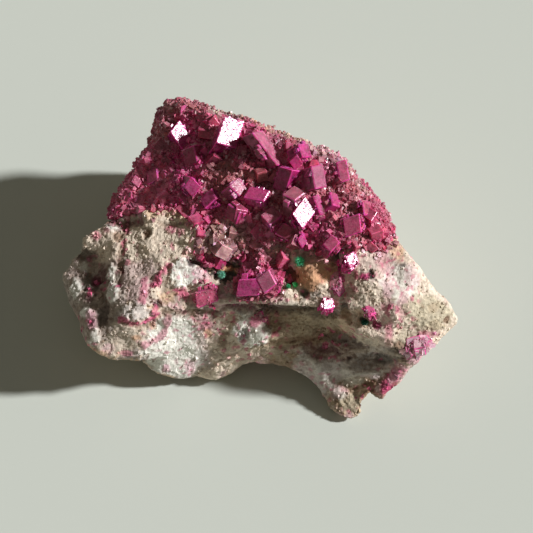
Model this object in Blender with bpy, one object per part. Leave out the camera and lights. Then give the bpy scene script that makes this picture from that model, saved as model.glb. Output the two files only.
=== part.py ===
"""Cobaltoan calcite with malachite: a loose, broken hand specimen that lies on its rough base.

Its pieces are the host rock, the crust of pink calcite crystals grown over its show face, a few pink
crystals that stand by themselves on the bare rock, and tufts of green malachite.
Lengths are in millimetres until an object is made, and +Z is up. The specimen faces -Y.
"""

import math

import bmesh
import bpy
import numpy as np
from mathutils import Matrix, Vector, noise
from mathutils.bvhtree import BVHTree

MM = 0.001

# Driving sizes
SHOW_ELEVATION = math.radians(60)  # the show face is described as seen from this angle over the table
STAR_CENTRE = Vector((0.0, -4.0, 9.0))  # a point inside, from which every landmark can be seen
ORIGIN = Vector((-0.439, -4.184, 0.0))  # the middle of the specimen's box on the table
TOUCHING_GAP = 0.3  # between two pieces that touch
LONGEST_EDGE = 2.25  # of the triangles that the stone's surface is made of
ROUNDING = 0.25  # how far each point goes to the middle of its neighbours
LUMP_SIZE, LUMP_HEIGHT = 3.4, 1.0
GRAIN_SIZE, GRAIN_HEIGHT = 1.8, 0.7
RIM_ROUGHNESS = 0.15  # the share of the lumps and grain that is left at the rim
CRUST_DEPTH = 1.9  # from the crust's surface to the host rock under it
VOXEL = 0.45  # the size of the grid that makes a folded surface sound
FLAT_UNDER = 0.1  # what lies lower than this is set down on the table
STONE_TRIANGLES = 4250
SKIN_TRIANGLES = 2600  # of the same surface under the crust's crystals

# Crystals of calcite: two edges of a face of its cleavage rhomb meet at this angle
RHOMB_ANGLE = math.radians(78)
ABOVE_ALL = 60.0  # a height that is clear of the whole stone

# The smaller crystals, strewn between the large ones
FILL_SPACING = 2.15
FILL_SMALLEST, FILL_LARGEST = 1.3, 2.3
FILL_LEAN = 0.55
FILL_STANDS_OUT = 0.15  # of the crystal's size
CLEAR_OF_LARGE = 0.6  # from the edge of a large crystal to the middle of a smaller one
CLEAR_OF_OUTLINE = 1.3  # how far inside the stone's rim and the crust's outline the smaller ones stay
FACES_VIEWER = 0.75  # how squarely the surface must face the viewer where they grow
FIELD_BOX = (-22, -4), (18, 23)  # across and up of the corners of the field that is tried
FILL_TRIES = 2500
SEED = 7

# Landmarks of the stone that can be seen from the front: across, up in that view, and height over the table
RIM = [
    (-12.0, 21.2, 17.4), (-9.8, 21.0, 18.0), (-6.5, 19.7, 19.2), (-3.0, 18.8, 20.4), (0.5, 17.3, 21.2),
    (3.9, 15.7, 21.4), (6.8, 15.2, 21.4), (10.0, 13.7, 21.0), (11.8, 11.1, 20.2), (14.1, 8.6, 19.8),
    (15.6, 6.0, 19.0), (16.8, 3.0, 18.0), (19.1, 0.1, 16.5), (21.4, -2.7, 14.5), (23.5, -5.0, 12.0),
    (25.0, -7.2, 10.0), (23.0, -9.1, 9.0), (21.4, -10.4, 8.4), (19.8, -11.8, 7.8), (18.5, -13.5, 6.8),
    (17.6, -15.4, 4.8), (15.7, -17.9, 3.0), (13.5, -19.8, 1.0), (10.9, -20.5, 0.5), (8.8, -19.5, 0.3),
    (8.5, -17.5, 1.0), (6.6, -15.6, 2.2), (4.3, -14.0, 3.2), (2.2, -13.0, 4.0), (0.0, -12.6, 4.2),
    (-2.0, -12.6, 3.6), (-3.8, -13.8, 2.2), (-6.2, -15.0, 0.8), (-8.0, -14.3, 1.0), (-11.1, -14.9, 1.2),
    (-13.2, -14.3, 2.8), (-15.5, -12.3, 7.0), (-18.5, -12.5, 7.2), (-20.8, -11.4, 9.0), (-22.9, -10.3, 9.0),
    (-23.6, -7.2, 8.5), (-25.0, -4.0, 8.8), (-25.8, -1.5, 9.8), (-24.0, 1.4, 11.8), (-23.2, 3.4, 13.0),
    (-20.6, 4.5, 13.0), (-19.7, 6.6, 12.8), (-18.7, 8.9, 13.4), (-17.2, 11.0, 14.3), (-15.9, 13.0, 15.2),
    (-14.3, 14.8, 15.9), (-13.1, 17.0, 16.5), (-13.6, 19.2, 16.8),
]
CRYSTAL_FIELD = [
    (-9.9, 18.2, 18.0), (-6.1, 16.8, 19.2), (-1.8, 15.2, 20.4), (2.6, 13.2, 21.0), (7.2, 12.0, 20.8),
    (10.1, 9.2, 20.4), (12.9, 6.1, 19.7), (-13.0, 14.0, 16.4), (-15.2, 10.8, 15.0), (-10.5, 11.5, 17.2),
    (-5.2, 10.5, 18.4), (-0.2, 8.6, 18.7), (4.9, 7.0, 19.8), (10.1, 4.0, 19.3), (14.2, 2.6, 18.6),
    (-17.0, 7.6, 14.0), (-13.0, 7.6, 15.8), (-8.0, 6.4, 17.0), (-3.0, 4.5, 17.0), (2.0, 3.0, 17.5),
    (6.8, 2.0, 17.7), (-6.5, 2.4, 16.0), (-0.5, 0.8, 15.6), (4.5, 0.2, 15.6),
]
VUGS = [(-4.0, -1.0, 13.2), (2.9, -1.5, 13.8)]
LEFT_LOBE = [
    (-20.5, 2.6, 13.4), (-18.4, 4.6, 13.4), (-17.5, 3.2, 11.8), (-17.8, 0.8, 11.6), (-19.5, 0.8, 13.0),
    (-14.2, 4.2, 15.4), (-14.2, 1.8, 15.2), (-9.9, 3.6, 16.0), (-10.5, 0.2, 15.0), (-7.4, -0.8, 14.6),
    (-15.5, -1.4, 14.0), (-21.5, -1.4, 12.0), (-19.2, -3.2, 12.4), (-22.8, -4.5, 10.6), (-20.5, -7.0, 11.4),
    (-17.0, -4.5, 13.2), (-14.2, -4.2, 13.6), (-13.0, -6.4, 12.2), (-16.8, -7.2, 12.2), (-14.5, -7.8, 11.2),
    (-19.0, -10.1, 9.8), (-15.8, -10.1, 9.4), (-12.0, -8.2, 9.6), (-12.4, -11.6, 5.8), (-9.2, -6.8, 10.6),
    (-9.2, -10.1, 7.0), (-8.6, -12.8, 3.4), (-6.5, -8.2, 8.8), (-6.1, -11.2, 5.2), (-9.9, -3.2, 13.0),
    (-6.5, -4.2, 13.2), (-8.0, -5.5, 12.0),
]
LEDGE = [
    (-3.0, -2.6, 14.4), (-0.2, -3.2, 14.8), (2.6, -3.0, 14.8), (-3.0, -4.5, 13.8), (0.5, -4.9, 13.8),
    (4.5, -5.4, 13.5), (8.0, -5.8, 13.2), (8.9, -2.6, 15.0), (7.0, 0.0, 16.6), (6.1, -1.7, 16.2),
    (10.2, -5.1, 12.6), (10.8, -7.6, 12.2), (13.5, -9.2, 11.6), (16.4, -10.5, 10.6),
]
RIGHT_SLOPE = [
    (10.8, 0.2, 17.4), (14.5, -0.1, 17.6), (17.2, -1.0, 16.6), (12.6, -3.2, 16.0), (16.0, -3.9, 15.8),
    (19.5, -4.5, 14.2), (13.0, -6.0, 14.2), (16.4, -7.2, 13.4), (19.8, -7.6, 11.8), (22.2, -6.8, 11.4),
    (18.9, -9.5, 10.0),
]
HOLLOW_UNDER_LEDGE = [
    (-4.5, -6.4, 10.8), (-1.1, -5.9, 10.0), (2.6, -6.3, 9.8), (6.8, -7.0, 9.2), (10.1, -8.7, 8.6),
    (-3.0, -8.9, 8.2), (-0.2, -8.9, 9.0), (-1.1, -10.9, 6.2), (2.6, -10.1, 6.6), (5.8, -10.8, 6.0),
    (8.2, -12.6, 4.6), (11.4, -10.8, 6.6), (14.2, -12.2, 6.0), (10.8, -15.1, 2.8), (13.2, -15.1, 3.4),
    (12.0, -17.4, 1.4),
]

# Landmarks that the front view hides: x, y, z
BACK = [
    (-12.6, 15.0, 12.5), (-12.6, 14.4, 6.0), (-11.0, 12.6, 0.0), (-7.0, 13.6, 13.5), (-6.0, 12.8, 7.0),
    (-5.0, 10.6, 0.0), (0.0, 10.4, 14.5), (1.0, 10.2, 8.0), (1.5, 7.8, 0.0), (6.0, 7.6, 14.5),
    (6.5, 6.8, 7.0), (6.5, 4.5, 0.0), (12.0, 3.2, 14.0), (12.5, 2.0, 7.0), (11.0, -0.5, 0.0),
    (16.4, -4.0, 12.5), (16.8, -4.4, 6.0), (14.5, -6.0, 0.0), (20.0, -8.6, 10.0), (19.0, -9.5, 5.0),
    (16.0, -12.0, 1.0), (22.6, -12.4, 6.5), (18.4, -15.0, 3.0), (16.0, -17.4, 2.6), (13.8, -19.6, 0.6),
]
LEFT_SIDE = [
    (-15.2, 8.2, 10.5), (-15.8, 8.2, 5.0), (-14.0, 6.6, 0.0), (-19.0, 1.2, 9.2), (-19.5, 0.4, 4.0),
    (-17.5, -1.5, 0.0), (-24.0, -6.0, 6.5), (-22.4, -6.5, 3.0), (-18.6, -7.0, 0.0), (-22.4, -11.5, 5.2),
    (-19.4, -13.6, 4.2), (-16.0, -11.5, 0.6),
]
BASE = [
    (-12.6, -13.0, -0.4), (-12.0, -9.0, -0.8), (-12.0, 0.0, -0.8), (-7.0, 5.0, -0.8), (0.0, 1.0, -0.8),
    (7.0, -3.0, -0.8), (11.0, -9.0, -0.8), (12.0, -15.0, -0.8), (11.2, -20.0, -0.6), (-8.0, -14.2, -0.6),
    (-7.0, -6.0, -0.8),
]
ARCH_UNDER_FRONT = [
    (-3.4, -15.4, 1.4), (0.0, -15.6, 3.2), (0.0, -12.5, 1.8), (4.2, -16.3, 2.6), (4.5, -12.5, 1.2),
    (7.5, -18.2, 1.2), (8.8, -15.5, 0.0), (0.0, -8.5, 0.0),
]

# The crust covers this outline of the show face: across and up in the front view
CRUST_OUTLINE = [
    (-16.0, 23.0), (0.0, 20.0), (12.0, 16.0), (14.5, 12.0), (18.0, 6.0), (16.2, 3.4), (14.2, 1.6),
    (12.6, 2.2), (11.0, 2.6), (9.2, 1.6), (6.6, 2.2), (3.2, 2.2), (2.4, -0.4), (1.6, -2.2), (1.8, -3.8),
    (-0.6, -4.3), (-3.2, -4.2), (-3.8, -1.8), (-2.2, 0.0), (-4.4, 1.2), (-6.0, -0.2), (-8.2, 0.4),
    (-8.8, 1.9), (-7.8, 3.6), (-9.0, 5.2), (-11.4, 6.9), (-14.0, 6.2), (-16.2, 6.9), (-18.0, 5.6),
    (-22.0, 5.6), (-22.0, 12.0),
]

# Directions that a crystal's best face looks in: to the right, to the front and up
TOWARDS_LIGHT = Vector((0.49, -0.26, 0.83))
UP_LEFT = Vector((-0.35, -0.30, 0.88))
UP_FRONT = Vector((0.05, -0.65, 0.76))
UP_RIGHT = Vector((0.72, -0.05, 0.69))
UPWARD = Vector((0.12, -0.12, 0.98))
FRONT_LEFT = Vector((-0.50, -0.62, 0.60))

# The large crystals of the crust: across and up of the best face's middle in the front view, how far it
# stands out of the crust, its two edges and the crystal's depth, the way it faces, and its turn in degrees
LARGE_CRYSTALS = [
    (-4.2, 16.5, 2.0, 2.9, 3.8, 3.2, TOWARDS_LIGHT, -3),
    (-10.4, 16.2, 1.5, 2.2, 2.7, 2.8, TOWARDS_LIGHT, 56),
    (0.8, 14.5, 0.6, 5.2, 2.4, 2.3, (0.66, 0.18, 0.73), 138),
    (5.2, 14.2, 0.9, 1.8, 1.9, 2.0, (0.75, -0.12, 0.65), -57),
    (6.9, 10.9, 1.6, 1.8, 3.1, 3.0, (0.41, -0.06, 0.91), 203),
    (2.3, 10.6, 1.4, 2.0, 3.2, 2.8, FRONT_LEFT, -20),
    (3.8, 8.9, 1.6, 1.9, 2.1, 3.0, (0.02, 0.19, 0.98), -33),
    (5.0, 6.4, 2.2, 3.1, 2.4, 3.0, TOWARDS_LIGHT, 57),
    (7.0, 7.4, 0.9, 2.6, 1.1, 2.2, (0.66, -0.26, 0.70), -53),
    (8.9, 8.1, 1.1, 1.9, 1.2, 2.2, (0.54, 0.03, 0.84), -78),
    (-3.1, 9.6, 1.0, 2.1, 1.7, 2.2, (0.56, -0.29, 0.77), -31),
    (-0.9, 8.8, 1.3, 2.7, 1.8, 2.4, (-0.07, 0.02, 1.00), -15),
    (-8.9, 9.6, 1.1, 1.7, 1.8, 2.2, (0.18, -0.62, 0.77), 238),
    (0.9, 6.1, 1.1, 2.4, 2.0, 2.4, (0.14, 0.17, 0.97), 48),
    (2.8, 4.0, 1.1, 2.1, 1.8, 2.2, (0.07, -0.58, 0.81), -29),
    (4.8, 2.9, 0.9, 1.2, 1.4, 1.8, (0.59, -0.46, 0.67), 57),
    (8.4, 2.6, 0.9, 1.9, 1.6, 2.0, (-0.02, -0.05, 1.00), 232),
    (9.9, 11.6, 0.9, 1.4, 2.7, 2.2, (0.23, -0.21, 0.95), 204),
    (-9.3, 13.4, 0.9, 2.0, 2.4, 2.4, FRONT_LEFT, 15),
    (-7.0, 8.2, 0.9, 2.0, 1.6, 2.0, UP_LEFT, 35),
    (11.0, 4.8, 1.1, 2.2, 2.4, 2.4, UP_FRONT, 20),
    (-4.0, 6.2, 0.9, 1.8, 2.0, 2.2, FRONT_LEFT, 60),
    (12.9, 7.0, 0.6, 1.6, 1.8, 2.0, UP_RIGHT, 25),
    (-1.9, -2.9, 1.2, 2.9, 2.2, 2.4, UP_FRONT, 4),
    (0.3, -2.2, 0.9, 2.0, 2.2, 2.2, UP_FRONT, 40),
    (-14.0, 11.0, 0.6, 1.5, 1.7, 2.0, UP_LEFT, 15),
]

# Pink crystals that stand alone on the bare rock, each a small cluster, with values like those above
LONE_CRYSTALS = {
    "crystal_lobe": [
        (-7.2, -4.1, 0.5, 2.8, 2.0, 1.8, UP_FRONT, 20),
        (-5.2, -3.2, 0.4, 1.7, 1.5, 1.5, UP_LEFT, 50),
    ],
    "crystal_lip": [(8.1, -5.0, 0.9, 1.5, 1.3, 1.6, TOWARDS_LIGHT, 15)],
    "crystal_shelf": [
        (11.0, 0.6, 0.7, 1.7, 1.6, 1.8, TOWARDS_LIGHT, 40),
        (10.4, -0.3, 0.4, 1.3, 1.5, 1.5, UP_FRONT, 10),
    ],
    "crystal_step": [
        (8.8, -2.0, 0.5, 1.5, 2.0, 1.6, UP_LEFT, 15),
        (9.4, -3.2, 0.4, 1.2, 1.4, 1.4, UP_FRONT, 45),
    ],
    "crystal_slope": [(13.2, -5.6, 0.4, 1.1, 1.6, 1.3, UPWARD, 30)],
    "crystal_right_edge": [
        (18.6, -10.1, 0.5, 1.8, 2.1, 1.6, UP_FRONT, 15),
        (19.9, -9.3, 0.5, 1.5, 1.6, 1.6, UPWARD, 50),
    ],
    "crystal_hollow": [(-0.7, -6.9, 0.4, 1.6, 1.5, 1.4, UP_FRONT, 35)],
}

# Tufts of malachite: across and up in the front view, and radius
MALACHITE_TUFTS = {
    "malachite_bay": (4.5, 0.5, 0.75),
    "malachite_vug": (-5.5, -1.3, 0.6),
    "malachite_ledge": (4.1, -2.6, 0.45),
    "malachite_pair": (2.9, -2.9, 0.32),
    "malachite_slope": (12.7, -7.3, 0.55),
}
TUFT_SPIKE = 1.35  # how much farther a tuft's needles reach than its body
TUFT_STANDS_OUT = 0.55  # of its radius


def stand(across, up, height):
    """The point that shows at across and up in the front view and lies at height over the table."""
    y = (up - height * math.cos(SHOW_ELEVATION)) / math.sin(SHOW_ELEVATION)
    return Vector((across, y, height))


def shows_at(point):
    """Across and up in the front view of a point."""
    return point[0], point[1] * math.sin(SHOW_ELEVATION) + point[2] * math.cos(SHOW_ELEVATION)


VIEW_AXIS = Vector((0.0, -math.cos(SHOW_ELEVATION), math.sin(SHOW_ELEVATION)))


def inside(outline, across, up):
    """True if the point lies inside the closed outline, by counting the sides to its right."""
    found = False
    for (ax, ay), (bx, by) in zip(outline, outline[1:] + outline[:1]):
        if (ay > up) != (by > up) and across < ax + (up - ay) / (by - ay) * (bx - ax):
            found = not found
    return found


def clear_scene():
    for old in list(bpy.data.objects):
        bpy.data.objects.remove(old, do_unlink=True)


def stone_landmarks():
    seen = RIM + CRYSTAL_FIELD + VUGS + LEFT_LOBE + LEDGE + RIGHT_SLOPE + HOLLOW_UNDER_LEDGE
    hidden = BACK + LEFT_SIDE + BASE + ARCH_UNDER_FRONT
    return [stand(*p) for p in seen] + [Vector(p) for p in hidden]


def landmark_polyhedron():
    """A closed polyhedron with the landmarks as its corners.

    The landmarks are joined up as neighbours on a sphere round STAR_CENTRE, and then put in their places.
    """
    places = stone_landmarks()
    mesh = bmesh.new()
    for place in places:
        mesh.verts.new((place - STAR_CENTRE).normalized())
    bmesh.ops.convex_hull(mesh, input=mesh.verts)
    for vert, place in zip(mesh.verts, places):
        vert.co = place
    return mesh


def round_off(mesh):
    """Moves each point part of the way to the middle of its neighbours."""
    middles = []
    for vert in mesh.verts:
        around = [edge.other_vert(vert).co for edge in vert.link_edges]
        middles.append(sum(around, Vector()) / len(around))
    for vert, middle in zip(mesh.verts, middles):
        vert.co = vert.co.lerp(middle, ROUNDING)


def split_long_edges(mesh):
    while True:
        long_ones = [e for e in mesh.edges if e.calc_length() > LONGEST_EDGE]
        if not long_ones:
            return
        bmesh.ops.subdivide_edges(mesh, edges=long_ones, cuts=1)
        bmesh.ops.triangulate(mesh, faces=mesh.faces[:])


def roughness(point, normal):
    """How far the rock's surface stands out at a point: broken lumps, and the grain on them.

    It is less where the surface turns away from the front view, so that the rim stays where it is.
    """
    lump = noise.noise(point / LUMP_SIZE) * LUMP_HEIGHT
    nearest = noise.voronoi(point / GRAIN_SIZE)[0][0]
    share = RIM_ROUGHNESS + (1 - RIM_ROUGHNESS) * abs(normal.dot(VIEW_AXIS))
    return (lump + (0.45 - nearest) * GRAIN_HEIGHT) * share


def rough_stone():
    """The specimen's outer surface without its crystals: points and triangles."""
    mesh = landmark_polyhedron()
    bmesh.ops.subdivide_edges(mesh, edges=mesh.edges[:], cuts=1, use_grid_fill=True)
    bmesh.ops.triangulate(mesh, faces=mesh.faces[:])
    round_off(mesh)
    split_long_edges(mesh)
    bmesh.ops.recalc_face_normals(mesh, faces=mesh.faces[:])
    mesh.normal_update()
    for vert, out in zip(mesh.verts, [v.normal * roughness(v.co, v.normal) for v in mesh.verts]):
        vert.co += out
        vert.co.z = max(vert.co.z, 0.0)
    points = [v.co.copy() for v in mesh.verts]
    faces = [[v.index for v in f.verts] for f in mesh.faces]
    mesh.free()
    return points, faces


def in_crust(point, surface):
    """True if the point can be seen from the front and lies inside the crust's outline there."""
    across, up = shows_at(point)
    if not inside(CRUST_OUTLINE, across, up):
        return False
    seen = surface.ray_cast(stand(across, up, ABOVE_ALL), -VIEW_AXIS)[0]
    return seen is None or (seen - point).length < CRUST_DEPTH / 2


def mesh_object(name, points, faces):
    """An object of that shape, its points given in millimetres."""
    data = bpy.data.meshes.new(name)
    data.from_pydata([p * MM for p in points], [], faces)
    obj = bpy.data.objects.new(name, data)
    bpy.context.scene.collection.objects.link(obj)
    return obj


def shape_of(obj):
    """The object's points in millimetres, unit normals and triangles."""
    points = [v.co / MM for v in obj.data.vertices]
    normals = [v.normal.copy() for v in obj.data.vertices]
    faces = [list(p.vertices) for p in obj.data.polygons]
    return points, normals, faces


def rhomb(face_middle, facing, turn, edges, depth):
    """The eight corners and six faces of a calcite rhomb, with one face's middle and direction given.

    Two opposite corners of a cleavage rhomb are blunt on all three of their faces, and no corner is sharp
    on more than two.
    """
    skew = math.cos(RHOMB_ANGLE)
    along = Vector((1, 0, 0))
    across = Vector((skew, math.sin(RHOMB_ANGLE), 0))
    inward_y = -skew * (1 + skew) / math.sin(RHOMB_ANGLE)
    inward = Vector((skew, inward_y, -math.sqrt(1 - skew**2 - inward_y**2)))
    to_facing = Vector((0, 0, 1)).rotation_difference(Vector(facing).normalized()).to_matrix()
    turned = to_facing @ Matrix.Rotation(math.radians(turn), 3, "Z")
    a, b, c = turned @ along * edges[0], turned @ across * edges[1], turned @ inward * depth
    start = face_middle - (a + b) / 2
    corners = [start, start + a, start + a + b, start + b]
    corners += [p + c for p in corners]
    faces = [(0, 1, 2, 3), (7, 6, 5, 4), (0, 4, 5, 1), (1, 5, 6, 2), (2, 6, 7, 3), (3, 7, 4, 0)]
    return corners, faces


def crystal(name, surface, across, up, stands_out, edge_a, edge_b, depth, facing, turn):
    """A rhomb whose best face shows at across and up, and stands out of the surface behind it."""
    start = stand(across, up, ABOVE_ALL)
    hit = surface.ray_cast(start, -VIEW_AXIS)[0]
    middle = hit + VIEW_AXIS * stands_out
    return mesh_object(name, *rhomb(middle, facing, turn, (edge_a, edge_b), depth))


def fill_crystals(surface):
    """Smaller crystals strewn over the crust between the large ones, at least FILL_SPACING apart."""
    chance = np.random.default_rng(SEED)
    taken = [(across, up, max(a, b) / 2 + CLEAR_OF_LARGE) for across, up, _, a, b, *_ in LARGE_CRYSTALS]
    nearby = [(CLEAR_OF_OUTLINE * x, CLEAR_OF_OUTLINE * y) for x, y in ((1, 0), (-1, 0), (0, 1), (0, -1))]
    outlines = [CRUST_OUTLINE, [(x, y) for x, y, _ in RIM]]
    found = []
    for across, up in chance.uniform(*FIELD_BOX, (FILL_TRIES, 2)):
        if not all(inside(outline, across + x, up + y) for x, y in nearby for outline in outlines):
            continue
        if any(math.dist((across, up), (x, y)) < clear for x, y, clear in taken):
            continue
        place, normal = surface.ray_cast(stand(across, up, ABOVE_ALL), -VIEW_AXIS)[:2]
        if place is None or normal.dot(VIEW_AXIS) < FACES_VIEWER:
            continue
        taken.append((across, up, FILL_SPACING))
        size = chance.uniform(FILL_SMALLEST, FILL_LARGEST)
        facing = normal + Vector(chance.uniform(-1, 1, 3)) * FILL_LEAN
        place = place + normal * size * FILL_STANDS_OUT
        edges = size, size * chance.uniform(0.8, 1.3)
        found.append(rhomb(place, facing, chance.uniform(0, 90), edges, size))
    return [mesh_object(f"fill_{n:03d}", *shape) for n, shape in enumerate(found)]


def baked(obj):
    """Applies the object's modifiers, keeps the largest body of the result, and makes it triangles."""
    graph = bpy.context.evaluated_depsgraph_get()
    data = bpy.data.meshes.new_from_object(obj.evaluated_get(graph))
    obj.modifiers.clear()
    obj.data = data
    mesh = bmesh.new()
    mesh.from_mesh(data)
    bmesh.ops.dissolve_degenerate(mesh, dist=1e-6, edges=mesh.edges[:])
    bmesh.ops.triangulate(mesh, faces=mesh.faces[:])
    left, bodies = set(mesh.verts), []
    while left:
        body, edge = set(), [left.pop()]
        while edge:
            vert = edge.pop()
            body.add(vert)
            near = {e.other_vert(vert) for e in vert.link_edges} & left
            left -= near
            edge.extend(near)
        bodies.append(body)
    bodies.sort(key=len)
    for body in bodies[:-1]:
        bmesh.ops.delete(mesh, geom=list(body), context="VERTS")
    mesh.to_mesh(data)
    mesh.free()
    return obj


def made_sound(obj, triangles=None):
    """Makes the object's surface one clean skin with no folds, of about that many triangles."""
    remesh = obj.modifiers.new("remesh", "REMESH")
    remesh.mode = "VOXEL"
    remesh.voxel_size = VOXEL * MM
    baked(obj)
    if triangles:
        fewer = obj.modifiers.new("fewer", "DECIMATE")
        fewer.ratio = triangles / len(obj.data.polygons)
        baked(obj)
    for vert in obj.data.vertices:
        if vert.co.z < FLAT_UNDER * MM:
            vert.co.z = 0.0
    return obj


def combine(obj, others, operation):
    """Joins the other solids to obj or cuts them out of it, and removes them."""
    group = bpy.data.collections.new("operands")
    for other in others:
        group.objects.link(other)
    boolean = obj.modifiers.new("combine", "BOOLEAN")
    boolean.solver = "EXACT"
    boolean.operation = operation
    boolean.operand_type = "COLLECTION"
    boolean.collection = group
    baked(obj)
    for other in others:
        bpy.data.objects.remove(other, do_unlink=True)
    bpy.data.collections.remove(group)
    return obj


def grown(host):
    """A copy of the host rock whose surface lies TOUCHING_GAP farther out."""
    points, normals, faces = shape_of(host)
    farther = [p + n * TOUCHING_GAP for p, n in zip(points, normals)]
    return made_sound(mesh_object("host_grown", farther, faces), STONE_TRIANGLES)


def trim(obj, host_grown):
    """Cuts the grown host rock out of obj."""
    cutter = host_grown.copy()
    bpy.context.scene.collection.objects.link(cutter)
    return combine(obj, [cutter], "DIFFERENCE")


def tuft(name, surface, across, up, radius):
    """A ball of malachite needles: a round body with every other corner pulled out to a point."""
    place, normal = surface.ray_cast(stand(across, up, ABOVE_ALL), -VIEW_AXIS)[:2]
    ball = bmesh.new()
    bmesh.ops.create_icosphere(ball, subdivisions=2, radius=radius)
    for vert in ball.verts:
        if len(vert.link_edges) == 5 or vert.index % 3 == 0:
            vert.co *= TUFT_SPIKE
        vert.co += place + normal * radius * TUFT_STANDS_OUT
    points = [v.co.copy() for v in ball.verts]
    faces = [[v.index for v in f.verts] for f in ball.faces]
    ball.free()
    return mesh_object(name, points, faces)


def material(name, colour, roughness_value):
    made = bpy.data.materials.new(name)
    made.use_nodes = True
    shader = made.node_tree.nodes["Principled BSDF"]
    shader.inputs["Base Color"].default_value = (*colour, 1)
    shader.inputs["Roughness"].default_value = roughness_value
    shader.inputs["Metallic"].default_value = 0.0
    made.diffuse_color = (*colour, 1)
    return made


def make():
    clear_scene()
    rock_stuff = material("host_rock", (0.60, 0.52, 0.44), 0.9)
    pink_stuff = material("cobaltoan_calcite", (0.46, 0.03, 0.16), 0.3)
    green_stuff = material("malachite", (0.02, 0.35, 0.16), 0.6)

    stone = made_sound(mesh_object("stone", *rough_stone()))
    points, normals, faces = shape_of(stone)
    surface = BVHTree.FromPolygons(points, faces)
    bed = [p - n * CRUST_DEPTH if in_crust(p, surface) else p for p, n in zip(points, normals)]
    matrix = made_sound(mesh_object("matrix", bed, faces), STONE_TRIANGLES)
    matrix.data.materials.append(rock_stuff)
    host_points, _, host_faces = shape_of(matrix)
    bare_rock = BVHTree.FromPolygons(host_points, host_faces)
    host_grown = grown(matrix)

    crust = made_sound(mesh_object("cobaltocalcite_crust", points, faces), SKIN_TRIANGLES)
    crystals = [crystal(f"large_{n}", surface, *values) for n, values in enumerate(LARGE_CRYSTALS)]
    combine(crust, crystals + fill_crystals(surface), "UNION")
    trim(crust, host_grown)
    crust.data.materials.clear()
    crust.data.materials.append(pink_stuff)

    for name, cluster in LONE_CRYSTALS.items():
        first, *rest = [crystal(f"{name}_{n}", bare_rock, *values) for n, values in enumerate(cluster)]
        if rest:
            combine(first, rest, "UNION")
        trim(first, host_grown)
        first.name = name
        first.data.materials.clear()
        first.data.materials.append(pink_stuff)

    for name, values in MALACHITE_TUFTS.items():
        made = trim(tuft(name, bare_rock, *values), host_grown)
        made.data.materials.clear()
        made.data.materials.append(green_stuff)

    for helper in (stone, host_grown):
        bpy.data.objects.remove(helper, do_unlink=True)
    for obj in bpy.data.objects:
        obj.data.transform(Matrix.Translation(-ORIGIN * MM))


make()
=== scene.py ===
"""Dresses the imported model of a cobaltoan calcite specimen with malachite.

The rough host rock, the druse of pink crystals, the large rhombs and the green tufts are all built here
round the frame. Lengths are in millimetres until an object is made. Marks on the specimen are placed by
where they show in the front view, in pixels across and down, and then belong to the surface behind them.
"""

import math

import bmesh
import bpy
import numpy as np
from mathutils import Matrix, Vector, noise
from mathutils.bvhtree import BVHTree


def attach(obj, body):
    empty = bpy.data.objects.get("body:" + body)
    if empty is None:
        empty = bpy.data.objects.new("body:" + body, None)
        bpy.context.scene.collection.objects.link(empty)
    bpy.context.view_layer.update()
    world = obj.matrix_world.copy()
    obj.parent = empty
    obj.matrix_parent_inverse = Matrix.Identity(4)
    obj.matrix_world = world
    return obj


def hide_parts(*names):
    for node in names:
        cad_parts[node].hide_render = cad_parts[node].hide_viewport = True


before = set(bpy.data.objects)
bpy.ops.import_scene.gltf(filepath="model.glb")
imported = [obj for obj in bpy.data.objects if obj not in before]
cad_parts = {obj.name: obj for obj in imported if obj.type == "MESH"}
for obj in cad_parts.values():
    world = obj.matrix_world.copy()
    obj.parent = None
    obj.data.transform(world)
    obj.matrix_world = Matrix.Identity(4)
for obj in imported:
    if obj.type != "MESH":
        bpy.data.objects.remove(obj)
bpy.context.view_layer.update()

MM = 0.001
SEED = 11

# The front view, in which the source describes the stone
ELEVATION = math.radians(60)
PIXELS_PER_MM = 8.0
MIDDLE_PIXEL = 264.0
PICTURE = 533
ORIGIN = Vector((-0.439, -4.184, 0.0))
VIEW_AXIS = Vector((0.0, -math.cos(ELEVATION), math.sin(ELEVATION)))
ABOVE_ALL = 60.0

# The camera, in millimetres
CAMERA_DISTANCE = 2400.0
SENSOR = 36.0
MIDDLE_HEIGHT = 12.0

# The meshes of the rock and of the crust's base
ROCK_VOXEL = 0.355
CRUST_VOXEL = 0.3
CRUST_SMOOTHING = 6
FACES_FRONT = 0.1

# How many places are tried for small crystals, and how many of those on the crust are for middling ones
ROCK_SPOTS = 16000
CRUST_SPOTS = 26000
MIDDLING_SPOTS = 2400
# Sizes: smallest and largest, and for grains first the middle and spread of the size's logarithm
MIDDLING_SIZES = (0.6, 1.8)
LONE_SIZES = (0.1, 0.27)
CRUMB_SIZES = (-1.9, 0.4, 0.08, 0.4)
DRUSE_SIZES = (-1.25, 0.4, 0.14, 0.7)
SPRINKLE_SIZES = (-1.1, 0.35, 0.15, 0.6)
SMALLEST_GRAIN = 0.1
# Up to each distance from the stone's outline, the largest crystal that has room
ROOM_AT_RIM = ((0.5, 0.25), (1.1, 0.6), (1.8, 1.0))
FAR = 9.0

# The flats along the edges of large crystals, of the ones that grow on them, and of middling ones
LARGE_BEVEL = 0.12
GROWTH_BEVEL = 0.06
MIDDLING_BEVEL = 0.05
# How many small ones grow on a large crystal, and more where it stands alone
GROWTHS = 9
LONE_GROWTHS = 14
OUTLINE_MARGIN = 0.15
# Cosines: of faces that are the same, and of those that mirror the light to the camera
SAME_FACE = 0.999
MIRRORS_LIGHT = 0.97
# The share of druse crystals made pale as painted glints
PAINTED_GLINT_SHARE = 0.04
NEEDLES = 420
FLOOR_REACH = 900.0

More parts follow.
